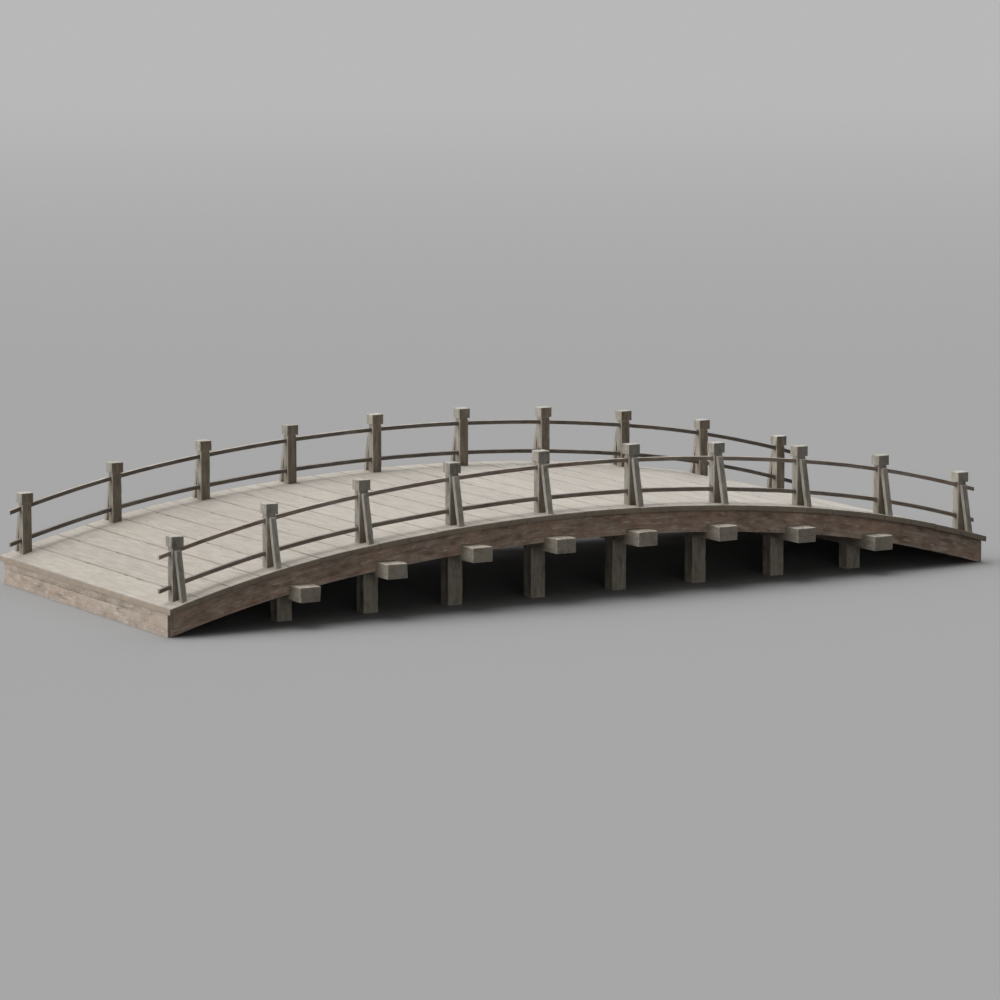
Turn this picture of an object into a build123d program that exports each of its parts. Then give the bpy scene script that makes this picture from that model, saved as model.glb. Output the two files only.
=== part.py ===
"""Low arched timber bridge on pile bents, in millimetres.

X runs along the bridge (left end at -X), Y across it (front at -Y) and Z up.
The origin lies on the ground under the middle of the deck.
Every curved piece follows one three-centred arch: a flat crown arc between two tighter haunch arcs.
Depths are measured square to the arch, downwards from the top of the deck.
"""
import os
from math import asin, cos, degrees, sin, sqrt

from build123d import *

# Overall plan
length = 15000  # over the outer faces of the end headers
width = 6000  # over the outer faces of the side beams

# Setting out of the arch, along the top of the deck
crown_radius = 33000
haunch_radius = 20500
crown_half = 4270  # from the middle to where the crown arc meets a haunch arc

# Deck
deck_thick = 86
deck_overhang = 120  # past the side beams
deck_lip = 12  # past the end headers
board_count = 29
board_gap = 6

# Beams under the deck
beam_depth = 358
side_beam_thick = 360
inner_beam_thick = 240
inner_beam_line = 900  # from the middle to an inner beam's centre
header_thick = 60

# Bents: a cross beam on a pair of piles
bent_count = 8
bent_end_distance = 2232  # from the end of the bridge to the outermost bent
cross_beam_wide = 350
cross_beam_high = 235
cross_beam_overhang = 385  # past the side beams
housing_depth = 116  # of an end cross beam let up into the beams
housing_shares = (1, 1.17, 1.2, 0.8)  # of that depth, from an end cross beam to a middle one
housing_clearance = 0.5
pile_side = 250
pile_line = 2393  # from the middle to a pile's centre

# Railing
posts_per_half = 5
middle_bay = 1667
end_post_distance = 278  # from the end of the deck to the end post's centre
post_inset = 273  # from a side beam's outer face to the posts' centre
post_side = 160
post_height = 973  # from the deck to the top of the head
neck_side = 138
neck_rise = 45  # over which the shaft narrows to the neck
head_side = 206
head_high = 165

rail_high = 64
rail_thick = 62
top_rail_level = 714  # from the deck to the rail's centre
low_rail_level = 216
mortise_clearance = 0.5

brace_wide = 96
brace_level = 762  # from the deck to the top of a brace
brace_head_reach = 62  # from the post's face to the brace's outer edge, at its top
brace_foot_reach = 238  # and at the deck
brace_heel = 60  # height of the plumb cut that bears on the post

# Worked out from the sizes above
half_length = length / 2
half_width = width / 2
deck_half = half_length + deck_lip
deck_wide = width + 2 * deck_overhang
beam_half = half_length - header_thick
soffit_depth = deck_thick + beam_depth
post_line = half_width - post_inset

join_angle = asin(crown_half / crown_radius)
haunch_centre = (crown_radius - haunch_radius) * sin(join_angle)
haunch_centre_fall = crown_radius - (crown_radius - haunch_radius) * cos(join_angle)


def fall(x, depth):
    """How far the arch line at this depth lies under the deck's crown, at x."""
    across = abs(x)
    if across <= (crown_radius - depth) * sin(join_angle):
        return crown_radius - sqrt((crown_radius - depth) ** 2 - across**2)
    return haunch_centre_fall - sqrt((haunch_radius - depth) ** 2 - (across - haunch_centre) ** 2)


# The lower corners of the side beams stand on the ground, and that sets the height of the crown.
crown_height = fall(beam_half, soffit_depth)


def level(x, depth=0):
    """Height above the ground of the arch line at this depth, at x."""
    return crown_height - fall(x, depth)


def arch_line(half, depth):
    """The arch line at this depth as three arcs, from x = -half to x = half."""
    join = (crown_radius - depth) * sin(join_angle)
    middle = (half + join) / 2
    stations = [-half, -middle, -join, 0, join, middle, half]
    points = [(x, level(x, depth)) for x in stations]
    return [ThreePointArc(*points[first : first + 3]) for first in (0, 2, 4)]


def arch_band(half, top, bottom, thick):
    """Bar between the arch lines at two depths, plumb at both ends and centred on Y = 0."""
    upper = arch_line(half, top)
    lower = arch_line(half, bottom)
    left_end = Line(upper[0] @ 0, lower[0] @ 0)
    right_end = Line(upper[-1] @ 1, lower[-1] @ 1)
    outline = make_face([*upper, right_end, *lower, left_end])
    return extrude(Plane.XZ * outline, amount=thick / 2, both=True)


def board_seams():
    """Places and tilts of the seams, at equal steps along the arch."""
    crown_run = crown_radius * join_angle
    end_angle = asin((deck_half - haunch_centre) / haunch_radius)
    half_run = crown_run + haunch_radius * (end_angle - join_angle)
    step = 2 * half_run / board_count
    seams = []
    for seam in range(1, board_count):
        run = seam * step - half_run
        if abs(run) <= crown_run:
            tilt = run / crown_radius
            x = crown_radius * sin(tilt)
        else:
            turn = join_angle + (abs(run) - crown_run) / haunch_radius
            side = 1 if run > 0 else -1
            tilt = side * turn
            x = side * (haunch_centre + haunch_radius * sin(turn))
        seams.append((x, tilt))
    return seams


def box_on(x, y, z, along, across, high):
    """Upright box whose underside is centred on a point."""
    return Pos(x, y, z) * Box(along, across, high, align=(Align.CENTER, Align.CENTER, Align.MIN))


def both_sides(piece, line):
    """A piece made on the middle line, set out in front of it and behind it."""
    return [Pos(0, -line, 0) * piece, Pos(0, line, 0) * mirror(piece, about=Plane.XZ)]


def save(name, pieces):
    """Write one node, whose solids stand clear of each other."""
    export_step(Compound([solid for piece in pieces for solid in piece.solids()]), f"parts/{name}.step")


# Deck boards, cut from one arched slab along the seams
deck = arch_band(deck_half, 0, deck_thick, deck_wide)
slots = [
    Pos(x, 0, level(x)) * Rot(0, degrees(tilt), 0) * Box(board_gap, 2 * deck_wide, 4 * deck_thick)
    for x, tilt in board_seams()
]
boards = (deck - slots).solids().sort_by(Axis.X)
third = (board_count + 1) // 3

# Bents: the cross beams lie level, let up into the beams, each on two piles
bent_step = (length - 2 * bent_end_distance) / (bent_count - 1)
bents = [(bent * bent_step + bent_end_distance - half_length) for bent in range(bent_count)]
cross_length = width + 2 * cross_beam_overhang
cross_beams = []
pile_pairs = []
housings = []
for bent, x in enumerate(bents):
    from_end = min(bent, bent_count - 1 - bent, len(housing_shares) - 1)
    seat = level(x, soffit_depth) + housing_depth * housing_shares[from_end]
    under = seat - cross_beam_high
    cross_beams.append(box_on(x, 0, under, cross_beam_wide, cross_length, cross_beam_high))
    pile_pairs.append(both_sides(box_on(x, 0, 0, pile_side, pile_side, under), pile_line))
    housing_wide = cross_beam_wide + 2 * housing_clearance
    housings.append(box_on(x, 0, under, housing_wide, cross_length, cross_beam_high))

# Arched beams, notched over the cross beams
side_beam = arch_band(beam_half, deck_thick, soffit_depth, side_beam_thick) - housings
side_beams = both_sides(side_beam, half_width - side_beam_thick / 2)
inner_beam = arch_band(beam_half, deck_thick, soffit_depth, inner_beam_thick) - housings
inner_beams = both_sides(inner_beam, inner_beam_line)

# End headers close the beam ends, from the ground up to the boards
header_blank = arch_band(half_length, deck_thick, 2 * soffit_depth, width)
headers = [
    header_blank & box_on(side * (half_length - header_thick / 2), 0, 0, header_thick, width, crown_height)
    for side in (-1, 1)
]

# Rails run on through the posts
rail_levels = {"top": top_rail_level, "low": low_rail_level}
rails = {}
mortises = []
for name, rise in rail_levels.items():
    rail_top = -rise - rail_high / 2
    rail_foot = -rise + rail_high / 2
    rails[name] = arch_band(deck_half, rail_top, rail_foot, rail_thick)
    mortises.append(
        arch_band(
            deck_half,
            rail_top - mortise_clearance,
            rail_foot + mortise_clearance,
            rail_thick + 2 * mortise_clearance,
        )
    )

# Posts: a square shaft that narrows to a neck under a wider head, its foot cut to the deck
bay = (deck_half - end_post_distance - middle_bay / 2) / (posts_per_half - 1)
right_posts = [middle_bay / 2 + step * bay for step in range(posts_per_half)]
post_places = [-x for x in reversed(right_posts)] + right_posts
shoulder = post_height - head_high - neck_rise
sunk = deck_thick / 2
post_pairs = []
for x in post_places:
    foot = level(x) - sunk
    shaft = box_on(x, 0, foot, post_side, post_side, shoulder + sunk)
    neck_foot = Pos(x, 0, level(x) + shoulder) * Rectangle(post_side, post_side)
    neck_top = Pos(x, 0, level(x) + shoulder + neck_rise) * Rectangle(neck_side, neck_side)
    head = box_on(x, 0, level(x) + shoulder + neck_rise, head_side, head_side, head_high)
    post = shaft + loft([neck_foot, neck_top]) + head - deck - mortises
    post_pairs.append(both_sides(post, post_line))

# Braces lean in from the deck's edge to the posts' outer faces
brace_rake = (brace_foot_reach - brace_head_reach) / brace_level
brace_inner_foot = brace_rake * (brace_level - brace_heel)
brace_profile = Polyline(
    (-brace_foot_reach - brace_rake * sunk, -sunk),
    (-brace_head_reach, brace_level),
    (0, brace_level),
    (0, brace_level - brace_heel),
    (-brace_inner_foot - brace_rake * sunk, -sunk),
    close=True,
)
brace_blank = extrude(Plane.YZ * make_face(brace_profile), amount=brace_wide / 2, both=True)
brace_pairs = []
for x in post_places:
    brace = Pos(x, 0, level(x)) * brace_blank - deck
    brace_pairs.append(both_sides(brace, post_line + post_side / 2))

os.makedirs("parts", exist_ok=True)
save("deck_boards_left", boards[:third])
save("deck_boards_middle", boards[third:-third])
save("deck_boards_right", boards[-third:])
save("left_end_header", headers[:1])
save("right_end_header", headers[1:])
for row, name in enumerate(("front", "back")):
    save(f"{name}_side_beam", [side_beams[row]])
    save(f"{name}_inner_beam", [inner_beams[row]])
    save(f"{name}_braces", [pair[row] for pair in brace_pairs])
    for rail, bar in rails.items():
        save(f"{name}_{rail}_rail", [both_sides(bar, post_line)[row]])
for bent, (cross_beam, piles) in enumerate(zip(cross_beams, pile_pairs), start=1):
    save(f"cross_beam_{bent}", [cross_beam])
    save(f"pile_pair_{bent}", piles)
for place, posts in enumerate(post_pairs, start=1):
    save(f"post_pair_{place}", posts)
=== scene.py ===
"""The weathered look of a low arched timber bridge, in metres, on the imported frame.

X runs along the bridge (left end at -X), Y across it (front at -Y) and Z up.
Each timber is a dressed copy of its node: eased and chipped arrises, a slight wave from drying,
open drying checks, and grain that runs along the timber. Nail heads hold the boards to the beams.
"""
from math import pi, sin
from random import Random

import bmesh
import bpy
from mathutils import Matrix, Vector, noise
from mathutils.bvhtree import BVHTree


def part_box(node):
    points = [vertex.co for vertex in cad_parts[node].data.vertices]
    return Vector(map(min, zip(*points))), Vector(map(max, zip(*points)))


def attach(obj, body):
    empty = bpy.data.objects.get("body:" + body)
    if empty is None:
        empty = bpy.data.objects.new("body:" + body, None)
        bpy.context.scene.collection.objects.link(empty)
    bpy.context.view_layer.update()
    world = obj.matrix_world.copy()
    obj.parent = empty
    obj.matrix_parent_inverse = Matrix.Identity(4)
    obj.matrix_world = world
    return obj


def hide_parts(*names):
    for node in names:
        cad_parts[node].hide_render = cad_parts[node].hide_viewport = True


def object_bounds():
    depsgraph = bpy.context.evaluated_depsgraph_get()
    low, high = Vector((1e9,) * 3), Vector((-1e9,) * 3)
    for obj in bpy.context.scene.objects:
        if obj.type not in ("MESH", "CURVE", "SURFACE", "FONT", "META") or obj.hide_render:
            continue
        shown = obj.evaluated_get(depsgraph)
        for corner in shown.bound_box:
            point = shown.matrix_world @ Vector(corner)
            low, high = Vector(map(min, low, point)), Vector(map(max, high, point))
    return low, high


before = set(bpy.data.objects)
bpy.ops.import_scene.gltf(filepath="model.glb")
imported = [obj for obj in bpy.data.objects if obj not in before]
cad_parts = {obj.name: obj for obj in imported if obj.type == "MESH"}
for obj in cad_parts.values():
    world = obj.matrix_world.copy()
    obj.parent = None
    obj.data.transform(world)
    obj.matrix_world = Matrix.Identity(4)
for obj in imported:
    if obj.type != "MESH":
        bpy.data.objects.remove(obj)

cad_low, cad_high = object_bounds()

X, Y, Z = 0, 1, 2
down = Vector((0, 0, -1))

# The camera, solved from the photograph, whose frame is taken as a square of so many pixels
picture_pixels = 1000
focal_pixels = 4712
sensor_wide = 36
camera_place = (-38.12, -65.97, 11.935)
camera_turn = -0.524
camera_dip = 0.14

# Light and stage
lamps = {
    "soft_key": {"strength": 2.04, "size": 0.95, "towards": (-0.12, 0.33, 1)},
    "left_side": {"strength": 1.7, "size": 1.2, "towards": (-1, 0.38, 0.36)},
    "right_side": {"strength": 1.12, "size": 1.2, "towards": (1, 0.38, 0.36)},
    "broad_top": {"strength": 0.25, "size": 2.1, "towards": (0, 0, 1)},
    "front_fill": {"strength": 0.39, "size": 0.6, "towards": (-0.3, -1, 0.06)},
}
sky_light = 0.03  # that falls on the bridge
sky_seen = 0.45  # where the picture shows the sky itself
floor_size = 2000
floor_near = 0.37
floor_far = 0.462
floor_near_reach = 20
floor_far_reach = 150
floor_bounce = 0.12  # share of its colour that the floor throws back at the bridge

# Arrises, and the bands beside them that wear fades over, from the arris inwards
merge_distance = 0.00002
flat_angle = 0.002
arris_angle = 0.5
arris_segments = 2
plain_bands = (0.02,)
seam_bands = (0.035,)
beam_bands = (0.02, 0.025)
rail_bands = (0.009,)
none_sharp = (0, 0)
mortise_arris = (0.055, 0.08)  # lengths between which a post's edges stay sharp

# How far a normal leans before its face or corner counts as such
flat_turn = 0.99
top_turn = 0.7
sawn_turn = 0.6
under_turn = 0.3
seam_turn = 0.3

# Wear, drying, painted shade and painted shadow
under_wear = 0.15  # of an arris that faces down
noise_range = 90
wave_seed = 1  # keeps the waves the same in every run
wave_pitch = 1.7
chip_pitch = 11
chip_start = 0.18
# painted shade at the feet of the railing: how high it reaches
foot_shade_reach = 0.65
foot_shade_least = 0.35  # share of a foot's painted shade on the faces that look along the bridge
# painted shadow under the edge of the deck: how far it reaches
lip_shadow_reach = 0.065
# painted shade on the board ends, darker towards the bottom
end_shade = 0.55
end_shade_top = 0.5  # share of it at the top of a board's end
lip_shadow_line = 0.55  # strength of the painted shadow line under the deck's lip, beside that under the board ends

# Drying checks; their ends are measured from the timber's ends, as shares of its length
check_wide = 0.009
check_deep = 0.022
check_wander = 0.012
check_wander_pitch = 2.3
check_line = (0.3, 0.7)
check_start = (-0.1, 0.25)
check_stop = (-0.1, 0.3)
check_fullness = 0.6
check_closing = 0.8

# Nails in the boards
nail_wide = 0.018
nail_top_wide = 0.009
nail_high = 0.004
nail_sides = 8
nail_from_edge = 0.085

# Grain; a run is the pitch along the grain as a share of the pitch across it
timber_shift = (37, 19, 23)
fibre_run = 0.035
fleck_run = 0.2
hair_share = 0.7  # pitch of the hair checks beside that of the streaks
hair_run = 0.045
hair_wide = 0.016
heart_aside = (-0.07, 0.09)  # from a timber's middle
heart_above = (0.02, -0.09)
ring_pitch = 700
ring_waver = 0.03
spoke_shift = (0, 41, 29)
spoke_wide = 0.02
rust_pitch = 160

# Shares in every timber's finish
end_share = 0.85
ring_share = 0.35
smudge_share = 0.3
arris_fade = 1.6
joint_and_shadow_fade = 1.8
joint_and_shadow_share = 0.95
fibre_roughness = 0.15
dust_roughness = 0.4
streak_relief = 0.5
fibre_relief = 0.35
hair_relief = 1.4
relief_strength = 0.8

# Sockets of a colour mixer
mix_share, mix_under, mix_over, mix_result = 0, 6, 7, 2

noise.seed_set(wave_seed)


def tone(red, green, blue):
    """A colour written as it should look, in bytes, as the linear colour that a socket takes."""
    parts = [byte / 255 for byte in (red, green, blue)]
    linear = [p / 12.92 if p <= 0.04045 else ((p + 0.055) / 1.055) ** 2.4 for p in parts]
    return (*linear, 1)


# The dark of the cracks also draws the painted shadow lines, and the grime browns also draw the painted shade.
crack_and_shadow_dark = tone(44, 38, 32)
seam_dirt = tone(124, 114, 102)
grime_and_shade_brown = tone(96, 85, 70)
rail_grime_and_shade = tone(82, 78, 74)
bare_iron = tone(70, 66, 62)
brown_rust = tone(104, 76, 58)


# Node helpers

def wire(tree, value, socket):
    """Link a socket to another node's output, or set its own value."""
    if isinstance(value, bpy.types.NodeSocket):
        tree.links.new(value, socket)
    else:
        socket.default_value = value


def put(tree, kind, sockets=None, **settings):
    """Add a node with its settings and sockets."""
    made = tree.nodes.new(kind)
    for name, value in settings.items():
        setattr(made, name, value)
    for name, value in (sockets or {}).items():
        wire(tree, value, made.inputs[name])
    return made


def sums(tree, operation, first, second=0.0, clamp=False):
    """One sum with two numbers."""
    sockets = {0: first, 1: second}
    return put(tree, "ShaderNodeMath", sockets, operation=operation, use_clamp=clamp).outputs[0]


def times(tree, first, second):
    """A product held between nothing and the whole."""
    return sums(tree, "MULTIPLY", first, second, clamp=True)


def vectors(tree, operation, *parts):
    """One sum with vectors."""
    return put(tree, "ShaderNodeVectorMath", dict(enumerate(parts)), operation=operation).outputs


def spread(tree, value, low, high, to_low=0.0, to_high=1.0):
    """Stretch a range of a value to another range, held at its ends."""
    sockets = {"Value": value, "From Min": low, "From Max": high, "To Min": to_low, "To Max": to_high}
    return put(tree, "ShaderNodeMapRange", sockets).outputs["Result"]


def between(tree, share, low, high):
    """The value at a share of the way from one to another."""
    return spread(tree, share, 0.0, 1.0, low, high)


def middle_line(tree, value, wide):
    """A thin line where noise passes its middle."""
    away = sums(tree, "ABSOLUTE", sums(tree, "SUBTRACT", value, 0.5))
    return spread(tree, away, 0.0, wide, to_low=1.0, to_high=0.0)


def lay_over(tree, share, under, over):
    """One colour laid over another by a share."""
    sockets = {mix_share: share, mix_under: under, mix_over: over}
    return put(tree, "ShaderNodeMix", sockets, data_type="RGBA").outputs[mix_result]


def noted(tree, name, kind="Fac"):
    """What the shaping of the timbers has noted on their meshes."""
    return put(tree, "ShaderNodeAttribute", attribute_name=name).outputs[kind]


def start_group(name, inputs, outputs):
    """A shader node group with named sockets."""
    tree = bpy.data.node_groups.new(name, "ShaderNodeTree")
    for label in inputs:
        tree.interface.new_socket(label, in_out="INPUT", socket_type="NodeSocketFloat")
    for label in outputs:
        tree.interface.new_socket(label, in_out="OUTPUT", socket_type="NodeSocketFloat")
    return tree, tree.nodes.new("NodeGroupInput").outputs, tree.nodes.new("NodeGroupOutput").inputs


def own_grain(tree):
    """Each timber's grain coordinate, moved by its own number so that no two timbers match."""
    grain = noted(tree, "grain", "Vector")
    timber = noted(tree, "timber")
    place = vectors(tree, "MULTIPLY_ADD", timber, timber_shift, grain)["Vector"]
    return place, grain, timber


def streaked_noise(tree, place, along, across, detail, roughness, distortion=0.0):
    """Noise drawn out along the grain, with so many marks a metre along it and across it."""
    stretch = put(tree, "ShaderNodeCombineXYZ", {"X": along, "Y": across, "Z": across}).outputs["Vector"]
    sockets = {
        "Vector": vectors(tree, "MULTIPLY", place, stretch)["Vector"],
        "Scale": 1.0,
        "Detail": detail,
        "Roughness": roughness,
        "Distortion": distortion,
    }
    return put(tree, "ShaderNodeTexNoise", sockets).outputs["Fac"]


# Effects that the timbers share

def make_long_grain():
    """Streaks, fibres, blotches, pale flecks, grime and hair checks along the grain of sawn timber."""
    tree, given, result = start_group(
        "long_grain",
        ["Streaks", "Run", "Fibres", "Flecks"],
        ["Streak", "Fibre", "Blotch", "Fleck", "Grime", "Check"],
    )
    place, _, _ = own_grain(tree)
    streaks, fibres, flecks = given["Streaks"], given["Fibres"], given["Flecks"]
    streak_along = sums(tree, "MULTIPLY", streaks, given["Run"])
    fibre_along = sums(tree, "MULTIPLY", fibres, fibre_run)
    fleck_along = sums(tree, "MULTIPLY", flecks, fleck_run)
    hairs = sums(tree, "MULTIPLY", streaks, hair_share)
    hair_along = sums(tree, "MULTIPLY", hairs, hair_run)

    streak = streaked_noise(tree, place, streak_along, streaks, detail=5, roughness=0.55)
    fibre = streaked_noise(tree, place, fibre_along, fibres, detail=3, roughness=0.6)
    blotch = streaked_noise(tree, place, along=1.1, across=2.6, detail=5, roughness=0.6, distortion=0.4)
    fleck = streaked_noise(tree, place, fleck_along, flecks, detail=4, roughness=0.68)
    grime = streaked_noise(tree, place, along=3.3, across=7.0, detail=6, roughness=0.72, distortion=0.6)
    hair = streaked_noise(tree, place, hair_along, hairs, detail=2, roughness=0.5, distortion=0.25)
    breaks = streaked_noise(tree, place, along=1.1, across=7.0, detail=2, roughness=0.5)

    check = times(tree, middle_line(tree, hair, hair_wide), spread(tree, breaks, 0.55, 0.62))
    wire(tree, spread(tree, streak, 0.34, 0.66), result["Streak"])
    wire(tree, spread(tree, fibre, 0.3, 0.7), result["Fibre"])
    wire(tree, spread(tree, blotch, 0.35, 0.65), result["Blotch"])
    wire(tree, spread(tree, fleck, 0.55, 0.64), result["Fleck"])
    wire(tree, spread(tree, grime, 0.48, 0.66), result["Grime"])
    wire(tree, check, result["Check"])
    return tree


def make_end_grain():
    """Growth rings, smudges and broken radial checks on sawn ends."""
    tree, given, result = start_group("end_grain", ["Rings"], ["End", "Ring", "Smudge", "Split"])
    place, grain, timber = own_grain(tree)
    aside = between(tree, timber, *heart_aside)
    above = between(tree, timber, *heart_above)
    heart = put(tree, "ShaderNodeCombineXYZ", {"Y": aside, "Z": above}).outputs["Vector"]
    flat = vectors(tree, "MULTIPLY", grain, (0, 1, 1))["Vector"]
    from_heart = vectors(tree, "SUBTRACT", flat, heart)["Vector"]

    waver = streaked_noise(tree, place, along=3.0, across=9.0, detail=3, roughness=0.5)
    reach = vectors(tree, "LENGTH", from_heart)["Value"]
    reach = sums(tree, "ADD", reach, sums(tree, "MULTIPLY", waver, ring_waver))
    ring = sums(tree, "SINE", sums(tree, "MULTIPLY", reach, given["Rings"]))

    course = vectors(tree, "NORMALIZE", from_heart)["Vector"]
    around = vectors(tree, "MULTIPLY_ADD", timber, spoke_shift, course)["Vector"]
    spoke = streaked_noise(tree, around, along=2.0, across=2.2, detail=2, roughness=0.5)
    patches = streaked_noise(tree, place, along=6.0, across=6.0, detail=4, roughness=0.6)

    end = noted(tree, "end")
    split = times(tree, middle_line(tree, spoke, spoke_wide), end)
    wire(tree, end, result["End"])
    wire(tree, spread(tree, ring, -1.0, 1.0), result["Ring"])
    wire(tree, spread(tree, patches, 0.35, 0.65), result["Smudge"])
    wire(tree, times(tree, split, spread(tree, patches, 0.5, 0.62)), result["Split"])
    return tree


def make_worn_arris():
    """Where the arrises are rubbed pale, where dirt gathers beside the seams, and where faces carry painted
    shade.
    """
    tree, given, result = start_group("worn_arris", ["Amount"], ["Worn", "Seam", "Painted_shade"])
    place, _, _ = own_grain(tree)
    patches = streaked_noise(tree, place, along=5.0, across=16.0, detail=4, roughness=0.65)
    rags = streaked_noise(tree, place, along=5.0, across=26.0, detail=4, roughness=0.65)
    dust = streaked_noise(tree, place, along=2.2, across=5.0, detail=3, roughness=0.6)
    stains = streaked_noise(tree, place, along=3.0, across=12.0, detail=4, roughness=0.65)

    faded = sums(tree, "POWER", noted(tree, "arris"), arris_fade)
    rubbed = times(tree, faded, spread(tree, patches, 0.36, 0.62))
    ragged = spread(tree, rags, 0.3, 0.7, to_low=-0.4, to_high=0.4)
    beside = spread(tree, sums(tree, "ADD", noted(tree, "seam"), ragged), 0.1, 0.9)
    dusty = spread(tree, dust, 0.3, 0.62, to_low=0.55)
    uneven = spread(tree, stains, 0.3, 0.7, to_low=0.75, to_high=1.25)
    wire(tree, times(tree, rubbed, given["Amount"]), result["Worn"])
    wire(tree, times(tree, beside, dusty), result["Seam"])
    wire(tree, times(tree, noted(tree, "painted_shade"), uneven), result["Painted_shade"])
    return tree


long_grain = make_long_grain()
end_grain = make_end_grain()
worn_arris = make_worn_arris()


# Finishes

def placed(tree, group, **values):
    """A node group in a material, with the material's own values."""
    return put(tree, "ShaderNodeGroup", values, node_tree=group).outputs


def start_finish(name):
    """A new material with its node tree and shader."""
    finish = bpy.data.materials.new(name)
    finish.use_nodes = True
    return finish, finish.node_tree, finish.node_tree.nodes["Principled BSDF"].inputs


def timber_finish(
    name, deep, pale, warm, worn, cut_end, streaks, run, fibres, flecks=34, fibre_share=0.4, warm_share=0.5,
    fleck_share=0.2, grime_share=0.3, check_share=0.5, worn_share=0.6, seam_share=0.0, tint=0.06, relief=0.004,
    gloss=0.25, smooth=0.8, dust=0.0, grime=grime_and_shade_brown,
):
    """One kind of weathered timber."""
    finish, tree, surface = start_finish(name)
    wood = placed(tree, long_grain, Streaks=streaks, Run=run, Fibres=fibres, Flecks=flecks)
    ends = placed(tree, end_grain, Rings=ring_pitch)
    wear = placed(tree, worn_arris, Amount=worn_share)

    sawn = lay_over(tree, times(tree, ends["Ring"], ring_share), cut_end, deep)
    sawn = lay_over(tree, times(tree, ends["Smudge"], smudge_share), sawn, deep)
    colour = lay_over(tree, wood["Streak"], deep, pale)
    for mask, share, over in (
        (wood["Blotch"], warm_share, warm),
        (wood["Fleck"], fleck_share, worn),
        (wood["Fibre"], fibre_share, deep),
        (ends["End"], end_share, sawn),
        (wood["Grime"], grime_share, grime),
        (wear["Worn"], 1.0, worn),
        (wear["Seam"], seam_share, seam_dirt),
        # painted shade, laid in the grime colour
        (wear["Painted_shade"], 1.0, grime),
    ):
        colour = lay_over(tree, times(tree, mask, share), colour, over)
    lightness = between(tree, noted(tree, "timber"), 1.0 - tint, 1.0 + tint)
    toned = put(tree, "ShaderNodeHueSaturation", {"Value": lightness, "Color": colour}).outputs["Color"]
    hair = times(tree, sums(tree, "MAXIMUM", wood["Check"], ends["Split"]), check_share)
    # dark joints, and the painted shadow lines under the deck's edge
    joint_and_shadow_line = times(tree, sums(tree, "POWER", noted(tree, "joint_and_shadow_line"), joint_and_shadow_fade), joint_and_shadow_share)
    cracks_and_shadow_lines = sums(tree, "MAXIMUM", sums(tree, "MAXIMUM", hair, joint_and_shadow_line), noted(tree, "crack"))
    wire(tree, lay_over(tree, cracks_and_shadow_lines, toned, crack_and_shadow_dark), surface["Base Color"])
    wire(tree, between(tree, wood["Fibre"], smooth, smooth + fibre_roughness), surface["Roughness"])
    surface["Specular IOR Level"].default_value = gloss
    surface["Sheen Weight"].default_value = dust
    surface["Sheen Roughness"].default_value = dust_roughness

    height = sums(tree, "MULTIPLY", wood["Streak"], streak_relief)
    height = sums(tree, "ADD", height, sums(tree, "MULTIPLY", wood["Fibre"], fibre_relief))
    height = sums(tree, "SUBTRACT", height, sums(tree, "MULTIPLY", hair, hair_relief))
    bump = put(tree, "ShaderNodeBump", {"Height": height, "Distance": relief, "Strength": relief_strength})
    wire(tree, bump.outputs["Normal"], surface["Normal"])
    return finish


def rusted_nail():
    """Old iron, brown where it has rusted."""
    finish, tree, surface = start_finish("rusted_nails")
    place, _, _ = own_grain(tree)
    patches = streaked_noise(tree, place, rust_pitch, rust_pitch, detail=3, roughness=0.5)
    rust = spread(tree, patches, 0.4, 0.6)
    wire(tree, lay_over(tree, rust, bare_iron, brown_rust), surface["Base Color"])
    wire(tree, between(tree, rust, 0.55, 0.9), surface["Roughness"])
    wire(tree, between(tree, rust, 0.8, 0.0), surface["Metallic"])
    return finish


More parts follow.
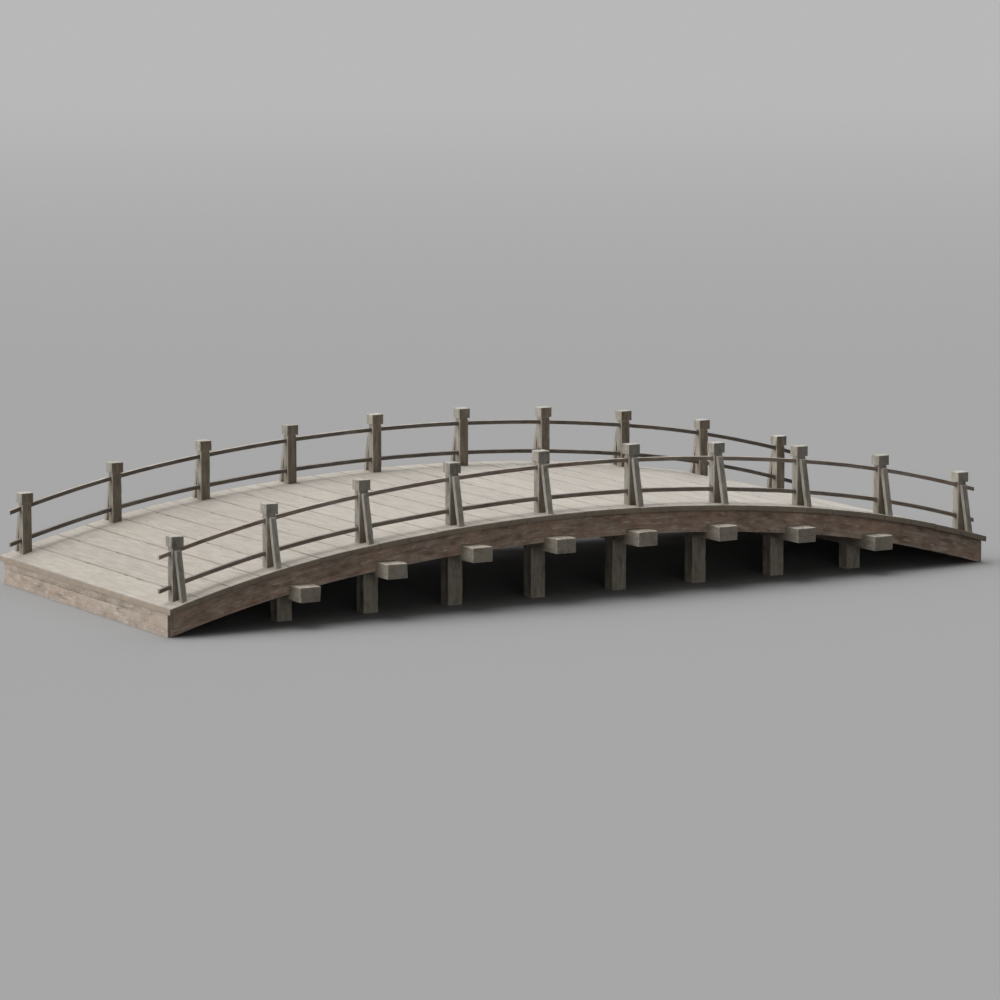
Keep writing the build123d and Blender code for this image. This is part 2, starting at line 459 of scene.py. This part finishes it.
nail_finish = rusted_nail()
finishes = {
    "deck_wood": timber_finish(
        "deck_boards",
        deep=tone(166, 158, 145), pale=tone(199, 192, 181), warm=tone(186, 172, 156), worn=tone(214, 208, 199),
        cut_end=tone(202, 180, 155), streaks=16, run=0.12, fibres=90, grime_share=0.14, check_share=0.12,
        worn_share=0.0, seam_share=0.6, gloss=0.4, smooth=0.5, dust=0.35,
    ),
    "header_wood": timber_finish(
        "header_plank",
        deep=tone(184, 168, 152), pale=tone(233, 220, 205), warm=tone(228, 202, 184), worn=tone(248, 239, 225),
        cut_end=tone(176, 152, 134), streaks=7, run=0.5, fibres=80, flecks=30, fleck_share=0.6,
        grime_share=0.25, check_share=0.4,
    ),
    "beam_wood": timber_finish(
        "arched_beams",
        deep=tone(168, 139, 120), pale=tone(241, 221, 203), warm=tone(233, 194, 170), worn=tone(255, 246, 232),
        cut_end=tone(210, 186, 166), streaks=11, run=0.34, fibres=34, flecks=21, fibre_share=0.36,
        warm_share=0.6, fleck_share=0.85, grime_share=0.36,
    ),
    "bent_wood": timber_finish(
        "cross_beams_and_piles",
        deep=tone(168, 160, 145), pale=tone(216, 208, 194), warm=tone(194, 182, 163), worn=tone(230, 223, 210),
        cut_end=tone(197, 188, 171), streaks=15, run=0.2, fibres=85, grime_share=0.4, check_share=0.6,
        worn_share=0.75,
    ),
    "post_wood": timber_finish(
        "posts_and_braces",
        deep=tone(163, 157, 146), pale=tone(210, 205, 196), warm=tone(190, 181, 165), worn=tone(226, 222, 214),
        cut_end=tone(205, 200, 191), streaks=18, run=0.15, fibres=95, grime_share=0.45, tint=0.1,
    ),
    # The rails' pale tops are partly a painted highlight.
    "rail_wood": timber_finish(
        "rails",
        deep=tone(144, 132, 121), pale=tone(214, 205, 194), warm=tone(198, 163, 143), worn=tone(210, 204, 195),
        cut_end=tone(247, 244, 239), streaks=22, run=0.1, fibres=110, warm_share=0.6, grime_share=0.4,
        worn_share=1.0, grime=rail_grime_and_shade,
    ),
}


# Shaping of the timbers

def copy_of(node):
    """A node's solids with doubles merged and flat faces made whole."""
    shape = bmesh.new()
    shape.from_mesh(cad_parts[node].data)
    bmesh.ops.remove_doubles(shape, verts=shape.verts[:], dist=merge_distance)
    bmesh.ops.dissolve_limit(shape, angle_limit=flat_angle, verts=shape.verts[:], edges=shape.edges[:])
    return shape


def ease_arrises(shape, ease, bands, sharp, even):
    """Round the outer arrises, and leave narrow bands beside each for the wear to fade over."""
    shape.normal_update()
    sharp_from, sharp_to = sharp
    arrises = [
        edge
        for edge in shape.edges
        if edge.is_convex
        and edge.calc_face_angle(0) > arris_angle
        and not sharp_from < edge.calc_length() < sharp_to
    ]
    eased = bmesh.ops.bevel(
        shape, geom=arrises, offset=ease, offset_type="OFFSET", segments=arris_segments, profile=0.5,
        affect="EDGES", material=-1, clamp_overlap=True,
    )
    rounded = set(eased["faces"])
    flats = [face for face in shape.faces if face not in rounded]
    for wide in bands:
        bmesh.ops.inset_region(shape, faces=flats, thickness=wide, use_boundary=True, use_even_offset=even)
    arris = shape.verts.layers.float.new("arris")
    shape.normal_update()
    for face in rounded:
        for corner in face.verts:
            corner[arris] = under_wear if corner.normal.z < -under_turn else 1.0


def unit(axis, way=1):
    """A unit vector along an axis."""
    vector = Vector((0, 0, 0))
    vector[axis] = way
    return vector


def cut_across(shape, along, step):
    """Cross cuts at even steps, so that the timber can wave."""
    places = [corner.co[along] for corner in shape.verts]
    low, high = min(places), max(places)
    count = max(2, round((high - low) / step))
    square = unit(along)
    for cut in range(1, count):
        place = square * (low + (high - low) * cut / count)
        everything = shape.verts[:] + shape.edges[:] + shape.faces[:]
        bmesh.ops.bisect_plane(shape, geom=everything, dist=merge_distance, plane_co=place, plane_no=square)


def timbers_of(shape):
    """The separate timbers of a mesh, each as a list of its corners."""
    shape.verts.index_update()
    seen = set()
    timbers = []
    for start in shape.verts:
        if start.index in seen:
            continue
        seen.add(start.index)
        front = [start]
        members = []
        while front:
            corner = front.pop()
            members.append(corner)
            for edge in corner.link_edges:
                other = edge.other_vert(corner)
                if other.index not in seen:
                    seen.add(other.index)
                    front.append(other)
        timbers.append(members)
    return timbers


def reach_of(members):
    """The lowest and highest corners of a timber's box."""
    low = Vector([min(corner.co[axis] for corner in members) for axis in (X, Y, Z)])
    high = Vector([max(corner.co[axis] for corner in members) for axis in (X, Y, Z)])
    return low, high


rail_low, rail_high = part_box("front_top_rail")
arch_half = rail_high.x
arch_rise = rail_high.z - rail_low.z
arch_radius = (arch_half**2 + arch_rise**2) / (2 * arch_rise)


def arch_fall(x):
    """How far the arch has fallen from its crown, at x, taken as one arc."""
    return arch_radius - (arch_radius**2 - x**2) ** 0.5


def grow_grain(shape, node, along, arched=False, edges_sawn=False):
    """Give every timber its own number and a grain coordinate, whose first part runs along it."""
    grain = shape.verts.layers.float_vector.new("grain")
    timber = shape.verts.layers.float.new("timber")
    draw = Random(node)
    across = [axis for axis in (X, Y, Z) if axis != along]
    for members in timbers_of(shape):
        number = draw.random()
        low, high = reach_of(members)
        centre = (low + high) / 2
        for corner in members:
            place = corner.co - centre
            if arched:
                place.z += arch_fall(corner.co.x)
            corner[grain] = (place[along], place[across[0]], place[across[1]])
            corner[timber] = number
    end = shape.faces.layers.float.new("end")
    for face in shape.faces:
        sawn = abs(face.normal[along]) > sawn_turn or edges_sawn and abs(face.normal.z) < sawn_turn
        face[end] = 1.0 if sawn else 0.0


def open_checks(shape, node, along, sides, count):
    """Open some drying checks in every timber: thin wedges along the grain, in its side faces."""
    crack = shape.verts.layers.float.new("crack")
    draw = Random(f"{node} checks")
    for members in timbers_of(shape):
        for side in draw.sample(sides, min(count, len(sides))):
            open_check(shape, set(members), along, side, draw, crack)


def open_check(shape, members, along, side, draw, crack):
    """Cut three lines along one face, then sink the middle one and draw the outer two to it."""
    axis, way = side
    across = next(other for other in (X, Y, Z) if other not in (along, axis))
    low, high = reach_of(members)
    line = low[across] + (high[across] - low[across]) * draw.uniform(*check_line)
    length = high[along] - low[along]
    start = low[along] + length * draw.uniform(*check_start)
    stop = high[along] - length * draw.uniform(*check_stop)
    lift = draw.uniform(0, noise_range)
    normal = unit(axis, way)
    square = unit(across)
    faces = [face for face in shape.faces if face.normal.dot(normal) > flat_turn and face.verts[0] in members]
    rows = {}
    for row in (-1, 0, 1):
        parts = set(faces)
        for face in faces:
            parts.update(face.verts)
            parts.update(face.edges)
        place = square * (line + row * check_wide / 2)
        cut = bmesh.ops.bisect_plane(
            shape, geom=list(parts), dist=merge_distance, plane_co=place, plane_no=square
        )
        rows[row] = [item for item in cut["geom_cut"] if isinstance(item, bmesh.types.BMVert)]
        faces = [item for item in cut["geom"] if isinstance(item, bmesh.types.BMFace)]
    for row, corners in rows.items():
        for corner in corners:
            share = min(max((corner.co[along] - start) / (stop - start), 0), 1)
            opened = sin(pi * share) ** check_fullness if 0 < share < 1 else 0
            wander = noise.noise(Vector((corner.co[along] * check_wander_pitch, lift, 0))) * check_wander
            corner.co[across] += wander * opened - row * check_wide / 2 * (1 - opened) * check_closing
            if row == 0:
                corner.co[axis] -= way * check_deep * opened
                corner[crack] = opened


def season(shape, node, along, wave, chip, shuffle):
    """Let each timber wave a little across its grain and lose chips from its arrises."""
    draw = Random(f"{node} wave")
    arris = shape.verts.layers.float["arris"]
    shape.normal_update()
    for members in timbers_of(shape):
        shift = Vector([draw.uniform(0, noise_range) for _ in (X, Y, Z)])
        settle = Vector((0, 0, draw.uniform(-1, 1))) * shuffle
        for corner in members:
            bend = noise.noise_vector(corner.co * wave_pitch + shift) * wave + settle
            bend[along] = 0
            lost = max(0, noise.noise(corner.co * chip_pitch + shift) - chip_start) * chip * corner[arris]
            place = corner.co + bend - corner.normal * lost
            corner.co = [min(max(p, low), high) for p, low, high in zip(place, cad_low, cad_high)]


# What the shaping notes for the finishes

def paint_railing_shade(shape, foot_shade, inner_shade, all_shade):
    """Note the painted shade on the railing: darker towards its feet, most on the faces across the bridge, on
    the faces towards the walkway, and evenly where asked.
    """
    painted_shade = shape.verts.layers.float.new("painted_shade")
    shape.normal_update()
    for members in timbers_of(shape):
        low, high = reach_of(members)
        out = 1 if low.y + high.y > 0 else -1
        for corner in members:
            inner = max(0, -corner.normal.y * out) * inner_shade
            turned = foot_shade_least + (1 - foot_shade_least) * abs(corner.normal.y)
            foot = max(0, 1 - (corner.co.z - low.z) / foot_shade_reach) * foot_shade * turned
            corner[painted_shade] = max(inner, foot, all_shade)


def paint_lip_shadow(shape, beam_lip_shadow):
    """Note the painted shadow on an arched beam: a dark line close under the edge of the deck."""
    joint_and_shadow_line = shape.verts.layers.float.new("joint_and_shadow_line")
    found = BVHTree.FromBMesh(shape)
    low, high = reach_of(shape.verts)
    middle = (low.y + high.y) / 2
    for corner in shape.verts:
        x = min(max(corner.co.x, low.x + lip_shadow_reach), high.x - lip_shadow_reach)
        top, _, _, _ = found.ray_cast(Vector((x, middle, cad_high.z)), down)
        under = arch_fall(x) - arch_fall(corner.co.x) + top.z - corner.co.z
        corner[joint_and_shadow_line] = max(0, 1 - under / lip_shadow_reach) * beam_lip_shadow


def bleach_and_highlight_tops(shape):
    """Note that a rail is pale over its whole top: bleached and rubbed, and partly a painted highlight."""
    arris = shape.verts.layers.float["arris"]
    shape.normal_update()
    for corner in shape.verts:
        if corner.normal.z > top_turn:
            corner[arris] = 1.0


def gather_dirt_and_shade(shape):
    """Note the dirt beside the seams, the dark joints between the board ends, and the painted shade: dark lines
    under the board ends and the deck's lip, and board ends darker towards the bottom.
    """
    arris = shape.verts.layers.float["arris"]
    seam = shape.verts.layers.float.new("seam")
    joint_and_shadow_line = shape.verts.layers.float.new("joint_and_shadow_line")
    painted_shade = shape.verts.layers.float.new("painted_shade")
    shape.normal_update()
    for corner in shape.verts:
        worn = corner[arris]
        at_end = abs(corner.normal.y) > seam_turn
        if corner.normal.z > seam_turn and not at_end:
            corner[seam] = worn
        # painted shadow: dark lines along the lower arrises, under the board ends and under the deck's lip
        if corner.normal.z < -seam_turn:
            corner[joint_and_shadow_line] = worn / under_wear * (1.0 if at_end else lip_shadow_line)
        # dark joints between the board ends
        elif at_end and abs(corner.normal.x) > seam_turn:
            corner[joint_and_shadow_line] = worn
        # painted shade: the board ends darker, most towards the bottom
        if at_end:
            low = (1 - corner.normal.z) / 2
            corner[painted_shade] = end_shade * (end_shade_top + (1 - end_shade_top) * low)


# Pieces

def finished(name, shape, finish):
    """A mesh made a piece of the bridge, shaded so that its flats stay flat."""
    for face in shape.faces:
        face.smooth = True
    mesh = bpy.data.meshes.new(name)
    shape.to_mesh(mesh)
    shape.free()
    mesh.materials.append(finish)
    piece = bpy.data.objects.new(name, mesh)
    bpy.context.scene.collection.objects.link(piece)
    piece.modifiers.new("flat_flats", "WEIGHTED_NORMAL")
    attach(piece, "root")
    return piece


def dressed(
    node, slot, along, ease, step, wave, chip=0.02, bands=plain_bands, arched=False, sharp=none_sharp,
    even=True, checked=(), checks=0, shuffle=0.0, foot_shade=0.0, inner_shade=0.0, all_shade=0.0, beam_lip_shadow=0.0,
):
    """A weathered piece that stands for a node."""
    shape = copy_of(node)
    ease_arrises(shape, ease, bands, sharp, even)
    cut_across(shape, along, step)
    if checks:
        open_checks(shape, node, along, checked, checks)
    grow_grain(shape, node, along, arched, edges_sawn=slot == "deck_wood")
    if slot == "deck_wood":
        gather_dirt_and_shade(shape)
    if slot == "rail_wood":
        bleach_and_highlight_tops(shape)
    # painted shade on the railing, and the painted shadow under the deck's edge
    if foot_shade or inner_shade or all_shade:
        paint_railing_shade(shape, foot_shade, inner_shade, all_shade)
    if beam_lip_shadow:
        paint_lip_shadow(shape, beam_lip_shadow)
    season(shape, node, along, wave, chip, shuffle)
    piece = finished(f"weathered_{node}", shape, finishes[slot])
    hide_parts(node)
    return piece


beam_lines = [
    sum(corner.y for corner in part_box(f"{row}_{kind}_beam")) / 2
    for row in ("front", "back")
    for kind in ("side", "inner")
]


def drive_nails(name, boards):
    """Low domed nail heads, two in every board over every beam, half sunk in the wood."""
    surface = bmesh.new()
    surface.from_mesh(boards.data)
    found = BVHTree.FromBMesh(surface)
    heads = bmesh.new()
    for members in timbers_of(surface):
        low, high = reach_of(members)
        for x in (low.x + nail_from_edge, high.x - nail_from_edge):
            for y in beam_lines:
                place, normal, _, _ = found.ray_cast(Vector((x, y, cad_high.z)), down)
                stand = Matrix.Translation(place) @ normal.to_track_quat("Z", "Y").to_matrix().to_4x4()
                bmesh.ops.create_cone(
                    heads, cap_ends=True, segments=nail_sides, radius1=nail_wide / 2, radius2=nail_top_wide / 2,
                    depth=nail_high, matrix=stand,
                )
    surface.free()
    grow_grain(heads, name, Z)
    finished(name, heads, nail_finish)


def how_many(start):
    """The number of nodes whose names start so."""
    return sum(name.startswith(start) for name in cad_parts)


lengthwise_sides = [(X, -1), (X, 1)]
upright_sides = [*lengthwise_sides, (Y, -1), (Y, 1)]
for part in ("left", "middle", "right"):
    boards = dressed(
        f"deck_boards_{part}", "deck_wood", along=Y, ease=0.004, step=0.08, wave=0.003, chip=0.022,
        bands=seam_bands, shuffle=0.0015,
    )
    drive_nails(f"nails_{part}", boards)
for side, way in (("left", -1), ("right", 1)):
    dressed(
        f"{side}_end_header", "header_wood", along=Y, ease=0.006, step=0.06, wave=0.002, chip=0.012,
        checked=[(X, way)], checks=1,
    )
for row in ("front", "back"):
    # the side beams carry a painted shadow line under the deck's edge
    dressed(
        f"{row}_side_beam", "beam_wood", along=X, ease=0.007, step=0.06, wave=0.003, chip=0.012,
        bands=beam_bands, arched=True, beam_lip_shadow=0.9,
    )
    dressed(f"{row}_inner_beam", "beam_wood", along=X, ease=0.008, step=0.2, wave=0.004, arched=True)
    # the rails carry painted shade on the faces towards the walkway, and the low rails all over
    for rail, rail_shade in (("top", 0.0), ("low", 0.48)):
        dressed(
            f"{row}_{rail}_rail", "rail_wood", along=X, ease=0.005, step=0.07, wave=0.002, chip=0.006,
            bands=rail_bands, arched=True, inner_shade=0.8, all_shade=rail_shade,
        )
    # the braces carry a little painted shade at their feet
    dressed(f"{row}_braces", "post_wood", along=Z, ease=0.004, step=0.05, wave=0.0015, chip=0.01, foot_shade=0.2)
for bent in range(1, how_many("cross_beam_") + 1):
    dressed(
        f"cross_beam_{bent}", "bent_wood", along=Y, ease=0.008, step=0.06, wave=0.004, chip=0.035,
        checked=lengthwise_sides, checks=1,
    )
    dressed(
        f"pile_pair_{bent}", "bent_wood", along=Z, ease=0.007, step=0.05, wave=0.003,
        checked=upright_sides, checks=3,
    )
# the posts carry painted shade at their feet and on the faces towards the walkway
for place in range(1, how_many("post_pair_") + 1):
    dressed(
        f"post_pair_{place}", "post_wood", along=Z, ease=0.005, step=0.05, wave=0.0015, chip=0.012,
        sharp=mortise_arris, even=False, foot_shade=0.75, inner_shade=0.68,
    )


# Stage, light and camera

def watched(tree):
    """Whether a surface is looked at, straight or in a reflection."""
    path = put(tree, "ShaderNodeLightPath").outputs
    seen = sums(tree, "MAXIMUM", path["Is Camera Ray"], path["Is Glossy Ray"])
    return sums(tree, "MAXIMUM", seen, path["Is Transmission Ray"])


def lay_floor():
    """A plain floor that grows paler far behind the bridge, and throws back little light."""
    shape = bmesh.new()
    bmesh.ops.create_grid(shape, x_segments=1, y_segments=1, size=floor_size / 2)
    mesh = bpy.data.meshes.new("studio_floor")
    shape.to_mesh(mesh)
    shape.free()
    floor = bpy.data.objects.new("studio_floor", mesh)
    bpy.context.scene.collection.objects.link(floor)
    finish, tree, surface = start_finish("studio_floor")
    place = put(tree, "ShaderNodeTexCoord").outputs["Object"]
    ahead = Matrix.Rotation(camera_turn, 3, "Z").col[1]
    reach = vectors(tree, "DOT_PRODUCT", place, ahead)["Value"]
    sockets = {"Value": reach, "From Min": floor_near_reach, "From Max": floor_far_reach}
    fade = put(tree, "ShaderNodeMapRange", sockets, interpolation_type="SMOOTHSTEP").outputs["Result"]
    seen = between(tree, watched(tree), floor_bounce, 1.0)
    grey = sums(tree, "MULTIPLY", between(tree, fade, floor_near, floor_far), seen)
    colour = put(tree, "ShaderNodeCombineColor", {"Red": grey, "Green": grey, "Blue": grey})
    wire(tree, colour.outputs["Color"], surface["Base Color"])
    surface["Roughness"].default_value = 1.0
    surface["Specular IOR Level"].default_value = 0.0
    mesh.materials.append(finish)


def hang_lamp(name, strength, size, towards):
    """A broad far lamp in one direction from the bridge."""
    lamp = bpy.data.lights.new(name, "SUN")
    lamp.energy = strength
    lamp.angle = size
    holder = bpy.data.objects.new(name, lamp)
    holder.rotation_mode = "QUATERNION"
    holder.rotation_quaternion = Vector(towards).to_track_quat("Z", "Y")
    bpy.context.scene.collection.objects.link(holder)


def light_studio():
    """The lamps and a faint sky."""
    for name, lamp in lamps.items():
        hang_lamp(name, **lamp)
    sky = bpy.data.worlds.new("studio_sky")
    sky.use_nodes = True
    tree = sky.node_tree
    backdrop = tree.nodes["Background"].inputs
    backdrop["Color"].default_value = (1, 1, 1, 1)
    wire(tree, between(tree, watched(tree), sky_light, sky_seen), backdrop["Strength"])
    bpy.context.scene.world = sky


def stand_camera():
    """The camera at the photograph's place and angle."""
    lens = bpy.data.cameras.new("photo_camera")
    lens.sensor_width = sensor_wide
    lens.lens = focal_pixels / picture_pixels * sensor_wide
    lens.clip_end = floor_size
    camera = bpy.data.objects.new("photo_camera", lens)
    camera.location = camera_place
    camera.rotation_euler = (pi / 2 - camera_dip, 0, camera_turn)
    bpy.context.scene.collection.objects.link(camera)
    bpy.context.scene.camera = camera


lay_floor()
light_studio()
stand_camera()
bpy.context.scene.view_settings.view_transform = "Standard"
